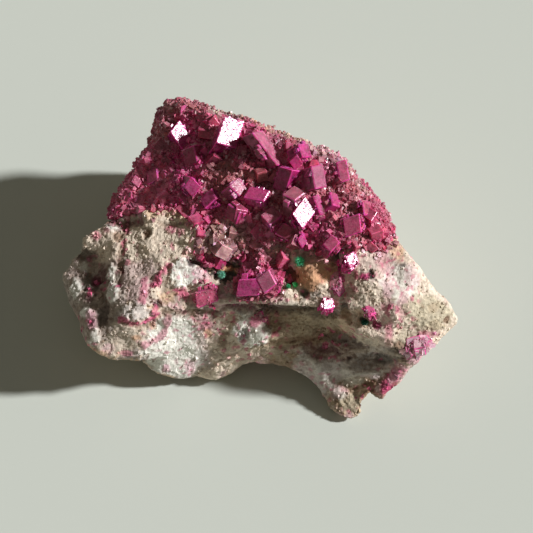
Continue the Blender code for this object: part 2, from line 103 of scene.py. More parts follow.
# Calcite: the angle between a rhomb's edges, and the corners of its faces
RHOMB_ANGLE = math.radians(78)
RHOMB_FACES = [(0, 1, 2, 3), (7, 6, 5, 4), (0, 4, 5, 1), (1, 5, 6, 2), (2, 6, 7, 3), (3, 7, 4, 0)]
TOWARDS_LIGHT = Vector((0.49, -0.26, 0.83))
UP_LEFT = Vector((-0.35, -0.30, 0.88))
UP_FRONT = Vector((0.05, -0.65, 0.76))
UP_RIGHT = Vector((0.72, -0.05, 0.69))
UPWARD = Vector((0.12, -0.12, 0.98))
FRONT_LEFT = Vector((-0.50, -0.62, 0.60))

# The source's large crystals: across and up of the best face's middle, its two edges, the depth, the way
# it faces, its turn, and here the stuff it shows where that isn't the usual one
USUAL_STUFF = "fuchsia"
LARGE_CRYSTALS = [
    (-4.2, 16.5, 2.9, 3.8, 3.2, TOWARDS_LIGHT, -3),
    (-10.4, 16.2, 2.2, 2.7, 2.8, TOWARDS_LIGHT, 56),
    (0.8, 14.5, 5.2, 2.4, 2.3, (0.66, 0.18, 0.73), 138, "dusky"),
    (5.2, 14.2, 1.8, 1.9, 2.0, (0.75, -0.12, 0.65), -57),
    (6.9, 10.9, 1.8, 3.1, 3.0, (0.41, -0.06, 0.91), 203, "dusky"),
    (2.3, 10.6, 2.0, 3.2, 2.8, FRONT_LEFT, -20),
    (3.8, 8.9, 1.9, 2.1, 3.0, (0.02, 0.19, 0.98), -33, "dusky"),
    (5.0, 6.4, 3.1, 2.4, 3.0, TOWARDS_LIGHT, 57),
    (7.0, 7.4, 2.6, 1.1, 2.2, (0.66, -0.26, 0.70), -53),
    (8.9, 8.1, 1.9, 1.2, 2.2, (0.54, 0.03, 0.84), -78),
    (-3.1, 9.6, 2.1, 1.7, 2.2, (0.56, -0.29, 0.77), -31, "dusky"),
    (-0.9, 8.8, 2.7, 1.8, 2.4, (-0.07, 0.02, 1.00), -15),
    (-8.9, 9.6, 1.7, 1.8, 2.2, (0.18, -0.62, 0.77), 238),
    (0.9, 6.1, 2.4, 2.0, 2.4, (0.14, 0.17, 0.97), 48, "dusky"),
    (2.8, 4.0, 2.1, 1.8, 2.2, (0.07, -0.58, 0.81), -29, "cherry"),
    (4.8, 2.9, 1.2, 1.4, 1.8, (0.59, -0.46, 0.67), 57),
    (8.4, 2.6, 1.9, 1.6, 2.0, (-0.02, -0.05, 1.00), 232, "cherry"),
    (9.9, 11.6, 1.4, 2.7, 2.2, (0.23, -0.21, 0.95), 204, "cherry"),
    (-9.3, 13.4, 2.0, 2.4, 2.4, FRONT_LEFT, 15, "cherry"),
    (-7.0, 8.2, 2.0, 1.6, 2.0, UP_LEFT, 35),
    (11.0, 4.8, 2.2, 2.4, 2.4, UP_FRONT, 20, "cherry"),
    (-4.0, 6.2, 1.8, 2.0, 2.2, FRONT_LEFT, 60, "cherry"),
    (12.9, 7.0, 1.6, 1.8, 2.0, UP_RIGHT, 25, "cherry"),
    (-1.9, -2.9, 2.9, 2.2, 2.4, UP_FRONT, 4),
    (0.3, -2.2, 2.0, 2.2, 2.2, UP_FRONT, 40, "dusky"),
    (-14.0, 11.0, 1.5, 1.7, 2.0, UP_LEFT, 15, "cherry"),
]
# Crystals that stand alone: the stuff they show, how many small grains grow on them, and their rhombs
LONE_CRYSTALS = {
    "crystal_lobe": ("crimson", 60, [
        (-7.2, -4.1, 2.8, 2.0, 1.8, UP_FRONT, 20), (-5.2, -3.2, 1.7, 1.5, 1.5, UP_LEFT, 50),
    ]),
    "crystal_lip": ("magenta", 10, [(8.1, -5.0, 1.5, 1.3, 1.6, TOWARDS_LIGHT, 15)]),
    "crystal_shelf": ("magenta", 70, [
        (11.0, 0.6, 1.7, 1.6, 1.8, TOWARDS_LIGHT, 40), (10.4, -0.3, 1.3, 1.5, 1.5, UP_FRONT, 10),
    ]),
    "crystal_step": ("rose", 60, [
        (8.8, -2.0, 1.5, 2.0, 1.6, UP_LEFT, 15), (9.4, -3.2, 1.2, 1.4, 1.4, UP_FRONT, 45),
    ]),
    "crystal_slope": ("pink", 40, [(13.2, -5.6, 1.1, 1.6, 1.3, UPWARD, 30)]),
    "crystal_right_edge": ("blush", 260, [
        (18.6, -10.1, 1.8, 2.1, 1.6, UP_FRONT, 15), (19.9, -9.3, 1.5, 1.6, 1.6, UPWARD, 50),
        (19.3, -9.9, 1.5, 1.4, 1.8, UPWARD, 15), (18.5, -10.7, 1.3, 1.2, 1.4, UP_RIGHT, 50),
    ]),
    "crystal_hollow": ("rose", 50, [(-0.7, -6.9, 1.6, 1.5, 1.4, UP_FRONT, 35)]),
}
# The share of its CAD body that each tuft fills, and its green
MALACHITE_TUFTS = {
    "malachite_bay": (0.8, (96, 210, 156)),
    "malachite_vug": (0.8, (120, 186, 160)),
    "malachite_ledge": (0.9, (86, 196, 120)),
    "malachite_pair": (0.9, (60, 160, 104)),
    "malachite_slope": (0.8, (20, 74, 52)),
}

# What the surface is made of: its colour as red, green and blue of 255, how coarse its grain is, and
# how glossy it is. Some colours are also laid as painted shade, painted light and painted highlight where the
# marks say so
STUFFS = {
    "cream": ((232, 218, 198), 0.8, 0.05), "tan": ((214, 184, 152), 0.7, 0.05),
    "beige": ((208, 195, 178), 0.7, 0.05), "chalk": ((238, 238, 228), 0.35, 0.05),
    "grey": ((182, 172, 164), 0.9, 0.05), "mauve": ((212, 190, 184), 0.7, 0.1),
    "lilac": ((212, 205, 200), 0.4, 0.15), "olive": ((180, 162, 134), 0.7, 0.1),
    "straw": ((188, 179, 154), 0.9, 0.05), "brown": ((126, 96, 74), 0.8, 0.15),
    "dark": ((40, 31, 29), 0.8, 0.1), "amber": ((88, 54, 32), 0.3, 0.6),
    "orange": ((224, 172, 132), 0.7, 0.1), "blush": ((222, 172, 186), 0.6, 0.2),
    "rose": ((196, 116, 138), 0.5, 0.3), "pink": ((198, 58, 116), 0.5, 0.5),
    "maroon": ((92, 24, 46), 0.6, 0.3), "pitch": ((24, 38, 32), 0.6, 0.3),
    "magenta": ((206, 50, 128), 0.3, 0.8), "fuchsia": ((176, 40, 110), 0.3, 0.8),
    "cherry": ((166, 56, 92), 0.4, 0.7), "peony": ((228, 104, 144), 0.5, 0.5),
    # The second colour on the next line is no stuff of the stone but a painted highlight for the flats along
    # crystal edges
    "crimson": ((200, 74, 112), 0.4, 0.7), "painted_edge_highlight": ((224, 62, 150), 0.3, 0.8),
    "ruby": ((136, 36, 66), 0.4, 0.7), "coral": ((196, 86, 116), 0.5, 0.5),
    "dusky": ((172, 72, 108), 0.4, 0.4), "russet": ((172, 100, 102), 0.6, 0.5),
    "ashen": ((180, 142, 136), 0.6, 0.4),
}

# Patches on the rock: across, down, half width, half height, stuff, strength, and where they have them
# a height in millimetres and a turn in degrees
PATCHES = [
    # The brown laid over the grey of the left lobe is painted shade on its shaded side
    (95, 290, 34, 62, "grey", 0.75, 0, 8), (98, 288, 24, 56, "brown", 0.3, 0, 8),
    (165, 240, 48, 26, "cream", 0.95, 0.1), (98, 244, 24, 20, "cream", 0.8, 0.1),
    (142, 282, 20, 22, "mauve", 0.8), (187, 285, 34, 22, "beige", 0.7),
    (136, 335, 25, 16, "beige", 0.8), (176, 348, 30, 34, "chalk", 0.95, 0.1),
    (208, 335, 12, 22, "mauve", 0.7), (235, 345, 26, 28, "cream", 0.7, 0, -30),
    (300, 328, 50, 20, "olive", 0.85), (285, 352, 34, 12, "olive", 0.7, 0, 10),
    (318, 372, 30, 17, "lilac", 0.8, 0, 40), (352, 360, 40, 26, "lilac", 0.65),
    (332, 345, 36, 16, "brown", 0.6), (356, 396, 26, 20, "olive", 0.9),
    (420, 305, 52, 44, "cream", 0.85, 0, 45), (372, 290, 40, 52, "cream", 0.75),
    (314, 274, 21, 15, "orange", 0.9, 0.25), (382, 235, 14, 34, "beige", 0.9, 0, -28),
    (352, 250, 22, 12, "beige", 0.8), (378, 262, 20, 26, "mauve", 0.5, 0, -30),
    (400, 284, 18, 20, "chalk", 0.7),
    # The left lobe
    (112, 228, 7, 4, "chalk", 0.9, 0.25), (97, 236, 5, 4, "pink", 0.6, 0.1),
    (107, 231, 4, 3, "pink", 0.5, 0.1), (117, 236, 5, 5, "brown", 0.8, -0.25),
    (85, 254, 13, 7, "dark", 0.7, -0.2, 20), (86, 267, 6, 6, "chalk", 0.8, 0.3),
    (88, 284, 12, 12, "dark", 0.6, -0.2), (95, 280, 5, 6, "maroon", 0.8, -0.1),
    (104, 275, 5, 10, "maroon", 0.6, -0.1), (113, 275, 7, 9, "chalk", 0.9, 0.35),
    (77, 289, 6, 10, "chalk", 0.85, 0.35), (114, 292, 6, 9, "chalk", 0.85, 0.35),
    # The first dark patch on the next line is painted shade on the lobe's right side
    (103, 314, 6, 13, "dark", 0.65, -0.2), (89, 296, 4, 5, "maroon", 0.7),
    (86, 313, 5, 5, "chalk", 0.9, 0.35), (92, 322, 5, 9, "blush", 0.8, 0.2),
    (92, 323, 2.5, 3, "maroon", 0.9), (95, 338, 6, 8, "chalk", 0.7, 0.3),
    # Between the lobe and the chalk
    (120, 210, 6, 5, "tan", 0.9, 0.2), (143, 213, 5, 7, "chalk", 0.9, 0.3),
    (146, 233, 5, 5, "brown", 0.9, -0.3), (165, 212, 16, 4, "blush", 0.5, 0.1),
    (172, 230, 6, 4, "pink", 0.55, 0.15), (182, 231, 5, 4, "pink", 0.5, 0.15),
    (200, 232, 6, 4, "orange", 0.8, 0.1), (135, 250, 10, 10, "cream", 0.9, 0.15),
    (122, 270, 3, 4, "maroon", 0.8), (120, 285, 3, 4, "maroon", 0.8),
    (154, 285, 6, 3, "pink", 0.6), (155, 294, 5, 6, "cream", 0.9, 0.3),
    (157, 304, 4, 4, "dark", 0.85, -0.3), (187, 275, 17, 13, "chalk", 0.95, 0.45),
    (203, 274, 8, 11, "blush", 0.6), (182, 293, 7, 5, "pink", 0.75, 0.1),
    (203, 295, 13, 7, "pink", 0.65, 0.15), (168, 297, 8, 7, "tan", 0.8),
    (137, 312, 15, 9, "lilac", 0.75, 0.45, -5), (155, 312, 3.5, 7, "pink", 0.6, 0.2),
    (136, 337, 5, 3, "orange", 0.6), (153, 326, 3, 3, "orange", 0.6),
    (127, 353, 8, 3, "pink", 0.5), (143, 354, 4, 3, "chalk", 0.8, 0.1),
    (166, 367, 4, 4, "blush", 0.8), (190, 367, 6, 8, "blush", 0.6),
    (202, 360, 8, 10, "lilac", 0.6), (206, 325, 8, 5, "pink", 0.4),
    (208, 333, 4, 4, "orange", 0.6), (208, 375, 11, 7, "cream", 0.9, 0.15),
    (217, 372, 5, 5, "cream", 0.9, 0.1),
    # The front under the ledge
    (222, 340, 5, 9, "brown", 0.7, -0.15, 20), (232, 322, 8, 7, "olive", 0.6, -0.1),
    (243, 335, 5, 5, "lilac", 0.7), (252, 328, 18, 17, "chalk", 0.9, 0.4, 20),
    (256, 321, 8, 6, "pink", 0.75, 0.15, -15), (245, 333, 6, 5, "dark", 0.5, -0.15),
    # The maroon and dark bands just under the ledge's lip are a painted shadow
    (262, 336, 8, 8, "chalk", 0.6, 0.1), (243, 307, 20, 3.5, "maroon", 0.8, -0.4),
    (283, 309, 28, 4, "dark", 0.7, -0.3), (325, 313, 22, 5, "dark", 0.6, -0.25),
    (270, 325, 12, 8, "brown", 0.5, -0.1), (322, 352, 26, 8, "maroon", 0.6, -0.2, 5),
    (350, 340, 34, 7, "dark", 0.4, -0.15, 8), (388, 358, 16, 6, "dark", 0.6, -0.25, 10),
    (330, 365, 10, 7, "lilac", 0.7, 0.1), (345, 371, 6, 5, "chalk", 0.5, 0.15),
    (362, 363, 16, 8, "dark", 0.45, -0.15), (352, 382, 10, 5, "chalk", 0.5, 0.1),
    (352, 400, 16, 12, "brown", 0.35), (367, 388, 12, 6, "brown", 0.7, -0.1, -20),
    (340, 392, 8, 7, "blush", 0.5, 0.1, 20), (350, 403, 10, 9, "straw", 0.7, 0.1),
    (368, 398, 7, 8, "brown", 0.5, 0, 30), (390, 382, 6, 17, "pink", 0.75, 0.1, 35),
    (394, 376, 4, 8, "blush", 0.7, 0.1, 35),
    # The ledge and its vugs
    (229, 271, 14, 10, "pitch", 0.85, -0.4), (288, 276, 9, 11, "amber", 0.85, -0.4),
    (276, 279, 7, 12, "cream", 0.9, 0.15), (292, 293, 11, 7, "cream", 0.9, 0.2),
    (304, 294, 4, 5, "dark", 0.85, -0.3), (313, 288, 9, 6, "brown", 0.4, -0.1),
    (326, 290, 7, 10, "cream", 0.8, 0.1), (216, 300, 9, 8, "blush", 0.7, 0.1),
    (206, 310, 12, 6, "grey", 0.8), (270, 293, 5, 7, "rose", 0.7, 0.1),
    (290, 303, 16, 3, "chalk", 0.7, 0.15), (335, 255, 3.5, 13, "dark", 0.8, -0.3, 5),
    (315, 256, 16, 8, "ashen", 0.8), (324, 267, 12, 4, "tan", 0.6),
    # The right slope
    # The dark streak by the step is a painted shadow
    (346, 310, 4, 14, "dark", 0.8, -0.3, -22), (352, 292, 10, 8, "brown", 0.55, -0.1),
    (357, 276, 6, 4, "brown", 0.7, -0.15), (364, 277, 4, 3, "magenta", 0.8, 0.1),
    (371, 274, 3.5, 5, "dark", 0.95, -0.25), (355, 322, 16, 14, "tan", 0.6, 0, 30),
    (363, 321, 5, 3, "pitch", 0.95, -0.2, 30), (376, 326, 4, 5, "maroon", 0.95, -0.15),
    (373, 338, 22, 8, "cream", 0.8, 0.15, 20), (385, 320, 12, 28, "blush", 0.2),
    (376, 325, 5, 4, "pink", 0.5), (389, 332, 4, 12, "pink", 0.5),
    (388, 292, 5, 16, "pink", 0.3), (382, 262, 8, 12, "rose", 0.45, 0, -20),
    (370, 245, 14, 5, "rose", 0.4, 0, 20), (395, 250, 6, 13, "orange", 0.5, 0, -25),
    (412, 275, 8, 12, "blush", 0.35, 0, -30), (384, 232, 2.5, 2.5, "dark", 0.95, -0.1),
    (384, 226, 1.5, 2, "dark", 0.8), (403, 265, 3, 1.5, "dark", 0.8, -0.1),
    (403, 305, 6, 12, "rose", 0.5, 0, 10), (428, 312, 24, 16, "straw", 0.85, 0.1, 20),
    (408, 340, 18, 10, "straw", 0.6), (432, 308, 6, 5, "olive", 0.6, -0.1),
    (446, 320, 5, 3, "brown", 0.8, -0.1, -40), (434, 326, 8, 6, "olive", 0.5),
    (430, 334, 10, 3, "rose", 0.7), (415, 350, 13, 11, "blush", 0.7, 0.1, -20),
    (401, 346, 6, 5, "brown", 0.7, -0.15), (396, 352, 12, 3, "dark", 0.6, -0.1, 15),
]

# Strokes on the rock: the path across and down, half width, stuff and strength, and the height as above
STROKES = [
    ([(124, 208), (128, 222), (123, 240), (120, 262), (118, 280)], 3, "brown", 0.6, -0.2),
    ([(110, 222), (122, 226), (140, 222)], 3.5, "maroon", 0.7, -0.2),
    ([(150, 216), (162, 211), (178, 215), (190, 223), (196, 230)], 4, "tan", 0.8, 0.4),
    ([(157, 224), (168, 225), (178, 226), (184, 224)], 2.0, "brown", 0.5, -0.1),
    ([(190, 262), (197, 262), (206, 268), (214, 273)], 2.5, "dark", 0.9, -0.4),
    ([(168, 266), (161, 274), (155, 282)], 3, "pink", 0.7, 0.1),
    ([(145, 281), (144, 290), (142, 299)], 3.5, "rose", 0.8, 0.1),
    ([(122, 319), (130, 323), (140, 324), (150, 320), (158, 314)], 2.5, "pink", 0.75, -0.1),
    ([(124, 324), (140, 328), (156, 322)], 2.0, "brown", 0.5, -0.1),
    ([(168, 318), (165, 330), (155, 340), (145, 345)], 3, "rose", 0.7, 0.15),
    ([(165, 312), (190, 314), (214, 313)], 3.5, "brown", 0.6, -0.25),
    ([(84, 347), (100, 353), (110, 361), (122, 362), (136, 361), (144, 367), (153, 376), (172, 379)],
     3, "tan", 0.8),
    ([(213, 301), (232, 301), (262, 300), (300, 302), (330, 306)], 2.5, "beige", 0.8, 0.2),
    ([(222, 268), (236, 270), (247, 276)], 2.5, "orange", 0.9, 0.5),
    ([(244, 362), (262, 352), (300, 348), (330, 356)], 3, "beige", 0.4, 0.1),
    ([(255, 345), (290, 340), (320, 338)], 2, "brown", 0.5, -0.1),
    ([(300, 352), (312, 362), (325, 378), (340, 395)], 4, "chalk", 0.45, 0.1),
    ([(338, 358), (352, 352), (372, 350), (395, 356)], 2, "beige", 0.5, 0.1),
    ([(342, 378), (358, 374), (378, 372), (392, 370)], 1.6, "chalk", 0.5, 0.1),
    ([(350, 390), (366, 384), (384, 378)], 1.5, "brown", 0.6, -0.1),
    ([(360, 282), (366, 290), (372, 300)], 3, "brown", 0.5, -0.1),
    ([(340, 300), (348, 300), (355, 318), (358, 330)], 3, "beige", 0.6, 0.1),
]

# Patches and strokes on the crust of crystals, in the same form
CRUST_PATCHES = [
    (185, 104, 32, 12, "russet", 0.7, 0, 12), (162, 130, 9, 28, "olive", 0.25, 0, 8),
    # The light rose patch at the left is painted light on druse that faces away from the key light
    (163, 160, 8, 12, "ruby", 0.7), (140, 182, 32, 32, "peony", 0.95),
    (118, 197, 6, 5, "coral", 0.8), (186, 135, 14, 22, "magenta", 0.8),
    (205, 122, 12, 12, "crimson", 0.7), (188, 172, 18, 22, "magenta", 0.85),
    (200, 152, 10, 10, "magenta", 0.7), (222, 180, 20, 22, "russet", 0.75),
    (250, 172, 14, 9, "russet", 0.7), (216, 210, 16, 16, "crimson", 0.7),
    (226, 240, 26, 20, "ashen", 0.85), (205, 245, 12, 12, "ashen", 0.6),
    (212, 262, 12, 6, "pink", 0.6), (250, 245, 10, 14, "russet", 0.8),
    (258, 222, 22, 18, "dusky", 0.5), (272, 187, 14, 22, "ruby", 0.6),
    # These two ruby patches are a painted shadow cast by the large crystals beside them
    (222, 150, 22, 7, "ruby", 0.9, 0, 15), (250, 150, 8, 16, "ruby", 0.9, 0, -20),
    (282, 235, 18, 12, "crimson", 0.8), (278, 252, 18, 10, "ashen", 0.8),
    (302, 242, 6, 10, "magenta", 0.9), (322, 246, 14, 10, "crimson", 0.6),
    (258, 262, 12, 14, "coral", 0.7), (322, 150, 26, 8, "mauve", 0.6, 0, 22),
    (345, 205, 20, 36, "russet", 0.5), (335, 175, 12, 16, "ruby", 0.5),
    (352, 180, 12, 20, "russet", 0.4, 0, -20), (372, 212, 9, 20, "coral", 0.6, 0, -20),
    (350, 218, 8, 6, "dusky", 0.7), (352, 240, 14, 6, "russet", 0.6),
    (278, 144, 14, 9, "dusky", 0.7, 0, 20),
]
CRUST_STROKES = [
    ([(214, 109), (240, 113), (262, 124), (285, 134), (312, 141)], 3.0, "tan", 0.7),
    ([(212, 110), (222, 111), (236, 113)], 4, "grey", 0.6),
    ([(312, 142), (330, 149), (345, 162), (356, 180), (368, 195)], 2.5, "beige", 0.5),
]


def linear(colour):
    """The shader's red, green and blue for a colour given as three numbers of 255."""
    parts = np.asarray(colour, float) / 255
    return np.where(parts <= 0.04045, parts / 12.92, ((parts + 0.055) / 1.055) ** 2.4)


def tint(stuff):
    return linear(STUFFS[stuff][0])


def in_front_view(points):
    """Across and down in pixels at which points show in the front view."""
    across = points[:, 0] + ORIGIN.x
    up = (points[:, 1] + ORIGIN.y) * math.sin(ELEVATION) + points[:, 2] * math.cos(ELEVATION)
    return MIDDLE_PIXEL + across * PIXELS_PER_MM, MIDDLE_PIXEL - up * PIXELS_PER_MM


def shown_at(spot):
    u, v = in_front_view(np.array([spot]))
    return u[0], v[0]


def stand(across, up, height):
    """The point that shows at across and up in the front view and lies at height over the table."""
    y = (up - height * math.cos(ELEVATION)) / math.sin(ELEVATION)
    return Vector((across, y, height)) - ORIGIN


def node_shape(name):
    """Points and triangles of a CAD node, with its split corners joined up again."""
    mesh = bmesh.new()
    mesh.from_mesh(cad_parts[name].data)
    bmesh.ops.remove_doubles(mesh, verts=mesh.verts, dist=1e-7)
    bmesh.ops.triangulate(mesh, faces=mesh.faces[:])
    mesh.verts.index_update()
    points = np.array([v.co for v in mesh.verts]) / MM
    faces = [[v.index for v in f.verts] for f in mesh.faces]
    mesh.free()
    return points, faces


def tree_of(points, faces):
    return BVHTree.FromPolygons([Vector(p) for p in points], faces)


def seen_at(tree, across, up):
    """The point and the normal that the front view shows at a place, or None for both."""
    return tree.ray_cast(stand(across, up, ABOVE_ALL), -VIEW_AXIS)[:2]


def ring(across, up, reach):
    """Eight places round one in the front view."""
    angles = [k * math.pi / 4 for k in range(8)]
    return [(across + reach * math.cos(a), up + reach * math.sin(a)) for a in angles]


def linked(name, data):
    obj = bpy.data.objects.new(name, data)
    bpy.context.scene.collection.objects.link(obj)
    return obj


def new_object(name, points, faces):
    data = bpy.data.meshes.new(name)
    data.from_pydata((np.asarray(points) * MM).tolist(), [], faces)
    return linked(name, data)


def remeshed(name, node, voxel, smoothing=0):
    """A new object in the shape of a CAD node, made of small even faces."""
    obj = new_object(name, *node_shape(node))
    remesh = obj.modifiers.new("remesh", "REMESH")
    remesh.mode = "VOXEL"
    remesh.voxel_size = voxel * MM
    if smoothing:
        smooth = obj.modifiers.new("smooth", "SMOOTH")
        smooth.factor = 0.5
        smooth.iterations = smoothing
    graph = bpy.context.evaluated_depsgraph_get()
    old, obj.data = obj.data, bpy.data.meshes.new_from_object(obj.evaluated_get(graph))
    obj.modifiers.clear()
    bpy.data.meshes.remove(old)
    return obj


def finer_in_front(obj):
    """Splits the faces that the front view shows, and leaves the others as they are."""
    mesh = bmesh.new()
    mesh.from_mesh(obj.data)
    shown = [e for e in mesh.edges if any(f.normal.dot(VIEW_AXIS) > FACES_FRONT for f in e.link_faces)]
    bmesh.ops.subdivide_edges(mesh, edges=shown, cuts=1, use_grid_fill=True)
    mesh.to_mesh(obj.data)
    mesh.free()


def arrays(obj):
    """Points in millimetres and unit normals of a mesh."""
    count = len(obj.data.vertices)
    points, normals = np.empty(count * 3), np.empty(count * 3)
    obj.data.vertices.foreach_get("co", points)
    obj.data.vertices.foreach_get("normal", normals)
    return points.reshape(-1, 3) / MM, normals.reshape(-1, 3)


def set_points(obj, points):
    obj.data.vertices.foreach_set("co", (points * MM).ravel())
    obj.data.update()


def noise_at(points, size, shift):
    """Smooth noise from about -1 to 1."""
    move = Vector((shift, shift, shift))
    return np.array([noise.noise(Vector(p) / size + move) for p in points])


def cells_at(points, size):
    """Distance to the nearest cell middle, in cells."""
    return np.array([noise.voronoi(Vector(p) / size)[0][0] for p in points])


def facets_at(points, size, step, slant):
    """Height of broken facets: each cell has its own height and its own slope."""
    heights = np.empty(len(points))
    for number, point in enumerate(points):
        place = Vector(point) / size
        middle = noise.voronoi(place)[1][0]
        level = noise.cell_vector(middle * 37.0)
        slope = noise.cell_vector(middle * 91.0 + Vector((5.5, 2.5, 8.5))) - Vector((0.5, 0.5, 0.5))
        heights[number] = (level.x - 0.5) * 2 * step + (place - middle).dot(slope) * 2 * slant * size
    return heights


def smoothstep(low, high, value):
    share = np.clip((value - low) / (high - low), 0, 1)
    return share * share * (3 - 2 * share)


def patch_mask(u, v, oval, turn, ragged):
    """From 0 outside an oval patch to 1 inside, with a ragged edge."""
    across, down, half_width, half_height = oval
    c, s = math.cos(math.radians(turn)), math.sin(math.radians(turn))
    x, y = u - across, v - down
    far = np.hypot((c * x + s * y) / half_width, (c * y - s * x) / half_height)
    small = min(half_width, half_height)
    soft = min(2.5, 0.4 * small)
    return smoothstep(-soft, soft, (1 - far) * small + ragged * min(7.0, 0.7 * small))


def stroke_mask(u, v, path, width, ragged):
    """From 0 away from a path of points to 1 on it."""
    nearest = np.full(len(u), 1e9)
    for (ax, ay), (bx, by) in zip(path, path[1:]):
        length = math.hypot(bx - ax, by - ay)
        along = np.clip(((u - ax) * (bx - ax) + (v - ay) * (by - ay)) / length**2, 0, 1)
        nearest = np.minimum(nearest, np.hypot(u - ax - along * (bx - ax), v - ay - along * (by - ay)))
    return smoothstep(-0.5, 0.5, 1 - nearest / width + ragged * 1.4)


def lay(made, stuff, share):
    """Changes colour, grain and gloss towards those of a stuff, as far as its share says."""
    over = np.array([*tint(stuff), *STUFFS[stuff][1:]])
    made += (over - made) * np.broadcast_to(share, len(made))[:, None]


def mixed(points, layers):
    """Colour, grain and gloss of stuffs laid over each other, each with the share it covers."""
    made = np.zeros((len(points), 5))
    for stuff, share in layers:
        lay(made, stuff, share)
    return made


def rock_ground(points):
    """The host rock away from every mark."""
    broad = noise_at(points, 6.0, 3.1)
    middle = noise_at(points, 2.2, 7.7)
    fine = noise_at(points, 0.8, 2.4)
    return mixed(points, [
        ("beige", 1.0),
        ("grey", smoothstep(-0.1, 0.35, broad)),
        ("cream", smoothstep(0.0, 0.4, middle) * 0.7),
        ("blush", smoothstep(0.25, 0.5, middle - broad) * 0.5),
        ("brown", smoothstep(0.3, 0.6, -broad - middle) * 0.7),
        ("tan", smoothstep(0.1, 0.4, fine) * 0.5),
    ])


def crust_ground(points):
    """The druse away from every mark."""
    broad = noise_at(points, 4.0, 8.0)
    fine = noise_at(points, 1.2, 6.0)
    return mixed(points, [
        ("crimson", 1.0),
        ("magenta", smoothstep(0.0, 0.4, broad) * 0.6),
        ("russet", smoothstep(0.1, 0.45, -broad + fine * 0.5) * 0.6),
        ("dusky", smoothstep(0.2, 0.45, fine) * 0.4),
    ])


def marked(points, normals, made, patches, strokes):
    """Colour, grain, gloss and height at each point, from the ground and the marks over it."""
    u, v = in_front_view(points)
    # 0 where the surface turns away from the front view, 1 where it faces it
    front = smoothstep(-0.15, 0.1, normals @ np.array(VIEW_AXIS))
    ragged = noise_at(points, 1.3, 1.0) * 0.7 + noise_at(points, 0.4, 5.0) * 0.6
    height = np.zeros(len(points))
    marks = []
    for row in patches:
        *oval, stuff, strength, rise, turn = (*row, 0, 0)[:8]
        marks.append((patch_mask(u, v, oval, turn, ragged), stuff, strength, rise))
    for row in strokes:
        path, width, stuff, strength, rise = (*row, 0)[:5]
        marks.append((stroke_mask(u, v, path, width, ragged), stuff, strength, rise))
    for mask, stuff, strength, rise in marks:
        mask = mask * front
        lay(made, stuff, mask * strength)
        height += mask * rise
    return made[:, :3], made[:, 3], made[:, 4], height


def flecked(points, colours):
    """The colours with small pink and brown flecks scattered over them."""
    where = smoothstep(-0.25, 0.25, noise_at(points, 4.0, 14.0))
    pink = smoothstep(0.26, 0.4, noise_at(points, 0.6, 21.0)) * where * 0.55
    brown = smoothstep(0.38, 0.5, noise_at(points, 0.5, 33.0)) * 0.45
    for share, stuff in ((pink, "pink"), (brown, "brown")):
        colours += (tint(stuff) - colours) * share[:, None]
    return colours


def on_rock(points, normals):
    colours, grain, gloss, height = marked(points, normals, rock_ground(points), PATCHES, STROKES)
    return flecked(points, colours), grain, gloss, height


def on_crust(points, normals):
    return marked(points, normals, crust_ground(points), CRUST_PATCHES, CRUST_STROKES)


def add_attributes(obj, colours, gloss):
    """Stores colour and gloss on the mesh's points for its material."""
    paint = obj.data.attributes.new("paint", "FLOAT_COLOR", "POINT")
    paint.data.foreach_set("color", np.column_stack([colours, np.ones(len(colours))]).ravel())
    shine = obj.data.attributes.new("gloss", "FLOAT", "POINT")
    shine.data.foreach_set("value", gloss)


# Materials


class Nodes:
    """A short way to write a material's nodes."""

    def __init__(self, name):
        self.material = bpy.data.materials.new(name)
        self.material.use_nodes = True
        self.tree = self.material.node_tree
        self.shader = self.tree.nodes["Principled BSDF"]

    def plug(self, socket, value):
        """Links the socket to another node's output, or sets a plain value on it."""
        if isinstance(value, bpy.types.NodeSocket):
            self.tree.links.new(value, socket)
        else:
            socket.default_value = value

    def add(self, kind, values=None, **settings):
        node = self.tree.nodes.new(kind)
        for key, value in settings.items():
            setattr(node, key, value)
        for key, value in (values or {}).items():
            self.plug(node.inputs[key], value)
        return node

    def place(self):
        return self.add("ShaderNodeTexCoord").outputs["Object"]

    def noise(self, size, detail=3.0, roughness=0.6):
        values = {"Vector": self.place(), "Scale": 1 / (size * MM), "Detail": detail, "Roughness": roughness}
        return self.add("ShaderNodeTexNoise", values).outputs["Fac"]

    def cells(self, size):
        values = {"Vector": self.place(), "Scale": 1 / (size * MM)}
        return self.add("ShaderNodeTexVoronoi", values).outputs["Distance"]

    def math(self, operation, a, b):
        return self.add("ShaderNodeMath", {0: a, 1: b}, operation=operation).outputs[0]

    def span(self, value, low, high, new_low=0.0, new_high=1.0):
        """Takes low to new_low and high to new_high, and stops there."""
        values = {"Value": value, "From Min": low, "From Max": high, "To Min": new_low, "To Max": new_high}
        return self.add("ShaderNodeMapRange", values).outputs["Result"]

    def mix(self, share, a, b, blend="MIX"):
        a, b = (c if isinstance(c, bpy.types.NodeSocket) else (*c, 1) for c in (a, b))
        values = {0: share, 6: a, 7: b}
        return self.add("ShaderNodeMix", values, data_type="RGBA", blend_type=blend).outputs[2]

    def shaded(self, colour, value, low, high, dark, light):
        """The colour times a tone that goes from dark to light as the value goes from low to high."""
        return self.mix(1.0, colour, self.mix(self.span(value, low, high), dark, light), "MULTIPLY")

    def attribute(self, name, output="Fac"):
        return self.add("ShaderNodeAttribute", attribute_name=name).outputs[output]

    def bump(self, height, strength, distance, normal=None):
        values = {"Height": height, "Strength": strength, "Distance": distance * MM}
        if normal:
            values["Normal"] = normal
        return self.add("ShaderNodeBump", values).outputs["Normal"]

    def finish(self, **sockets):
        for key, value in sockets.items():
            self.plug(self.shader.inputs[key.replace("_", " ")], value)
        return self.material


